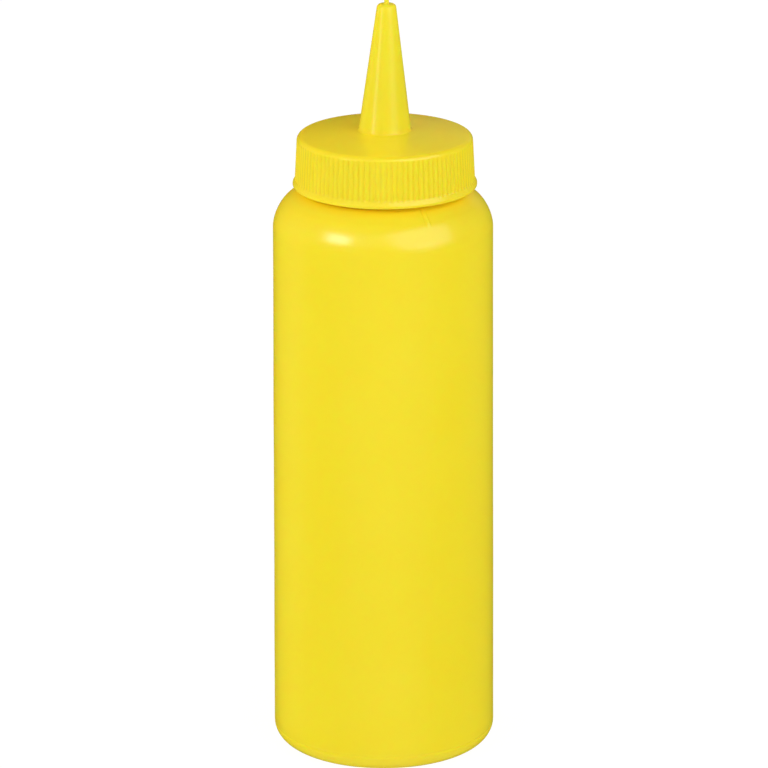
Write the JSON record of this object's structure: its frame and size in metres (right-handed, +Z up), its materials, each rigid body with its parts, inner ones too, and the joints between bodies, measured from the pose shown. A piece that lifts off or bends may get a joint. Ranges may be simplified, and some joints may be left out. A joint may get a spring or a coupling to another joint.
{
  "type": "squeeze sauce bottle",
  "caption": "Round plastic squeeze bottle with rounded shoulders, a ribbed screw cap and a closed cone nozzle, for dispensing table sauces.",
  "frame": {"origin": "centre of the standing ring, on the surface the bottle stands on", "axes": "+Z up along the axis of the bottle, cap and nozzle; the view of the picture looks along +Y"},
  "size_m": [0.0516, 0.0516, 0.178],
  "materials": {
    "bottle": "semi-gloss blown polyethylene, opaque yellow",
    "screw_cap": "semi-gloss moulded polyethylene, opaque yellow"
  },
  "bodies": {
    "root": {"bottle": "bottle", "screw_cap": "screw_cap"}
  },
  "joints": []
}
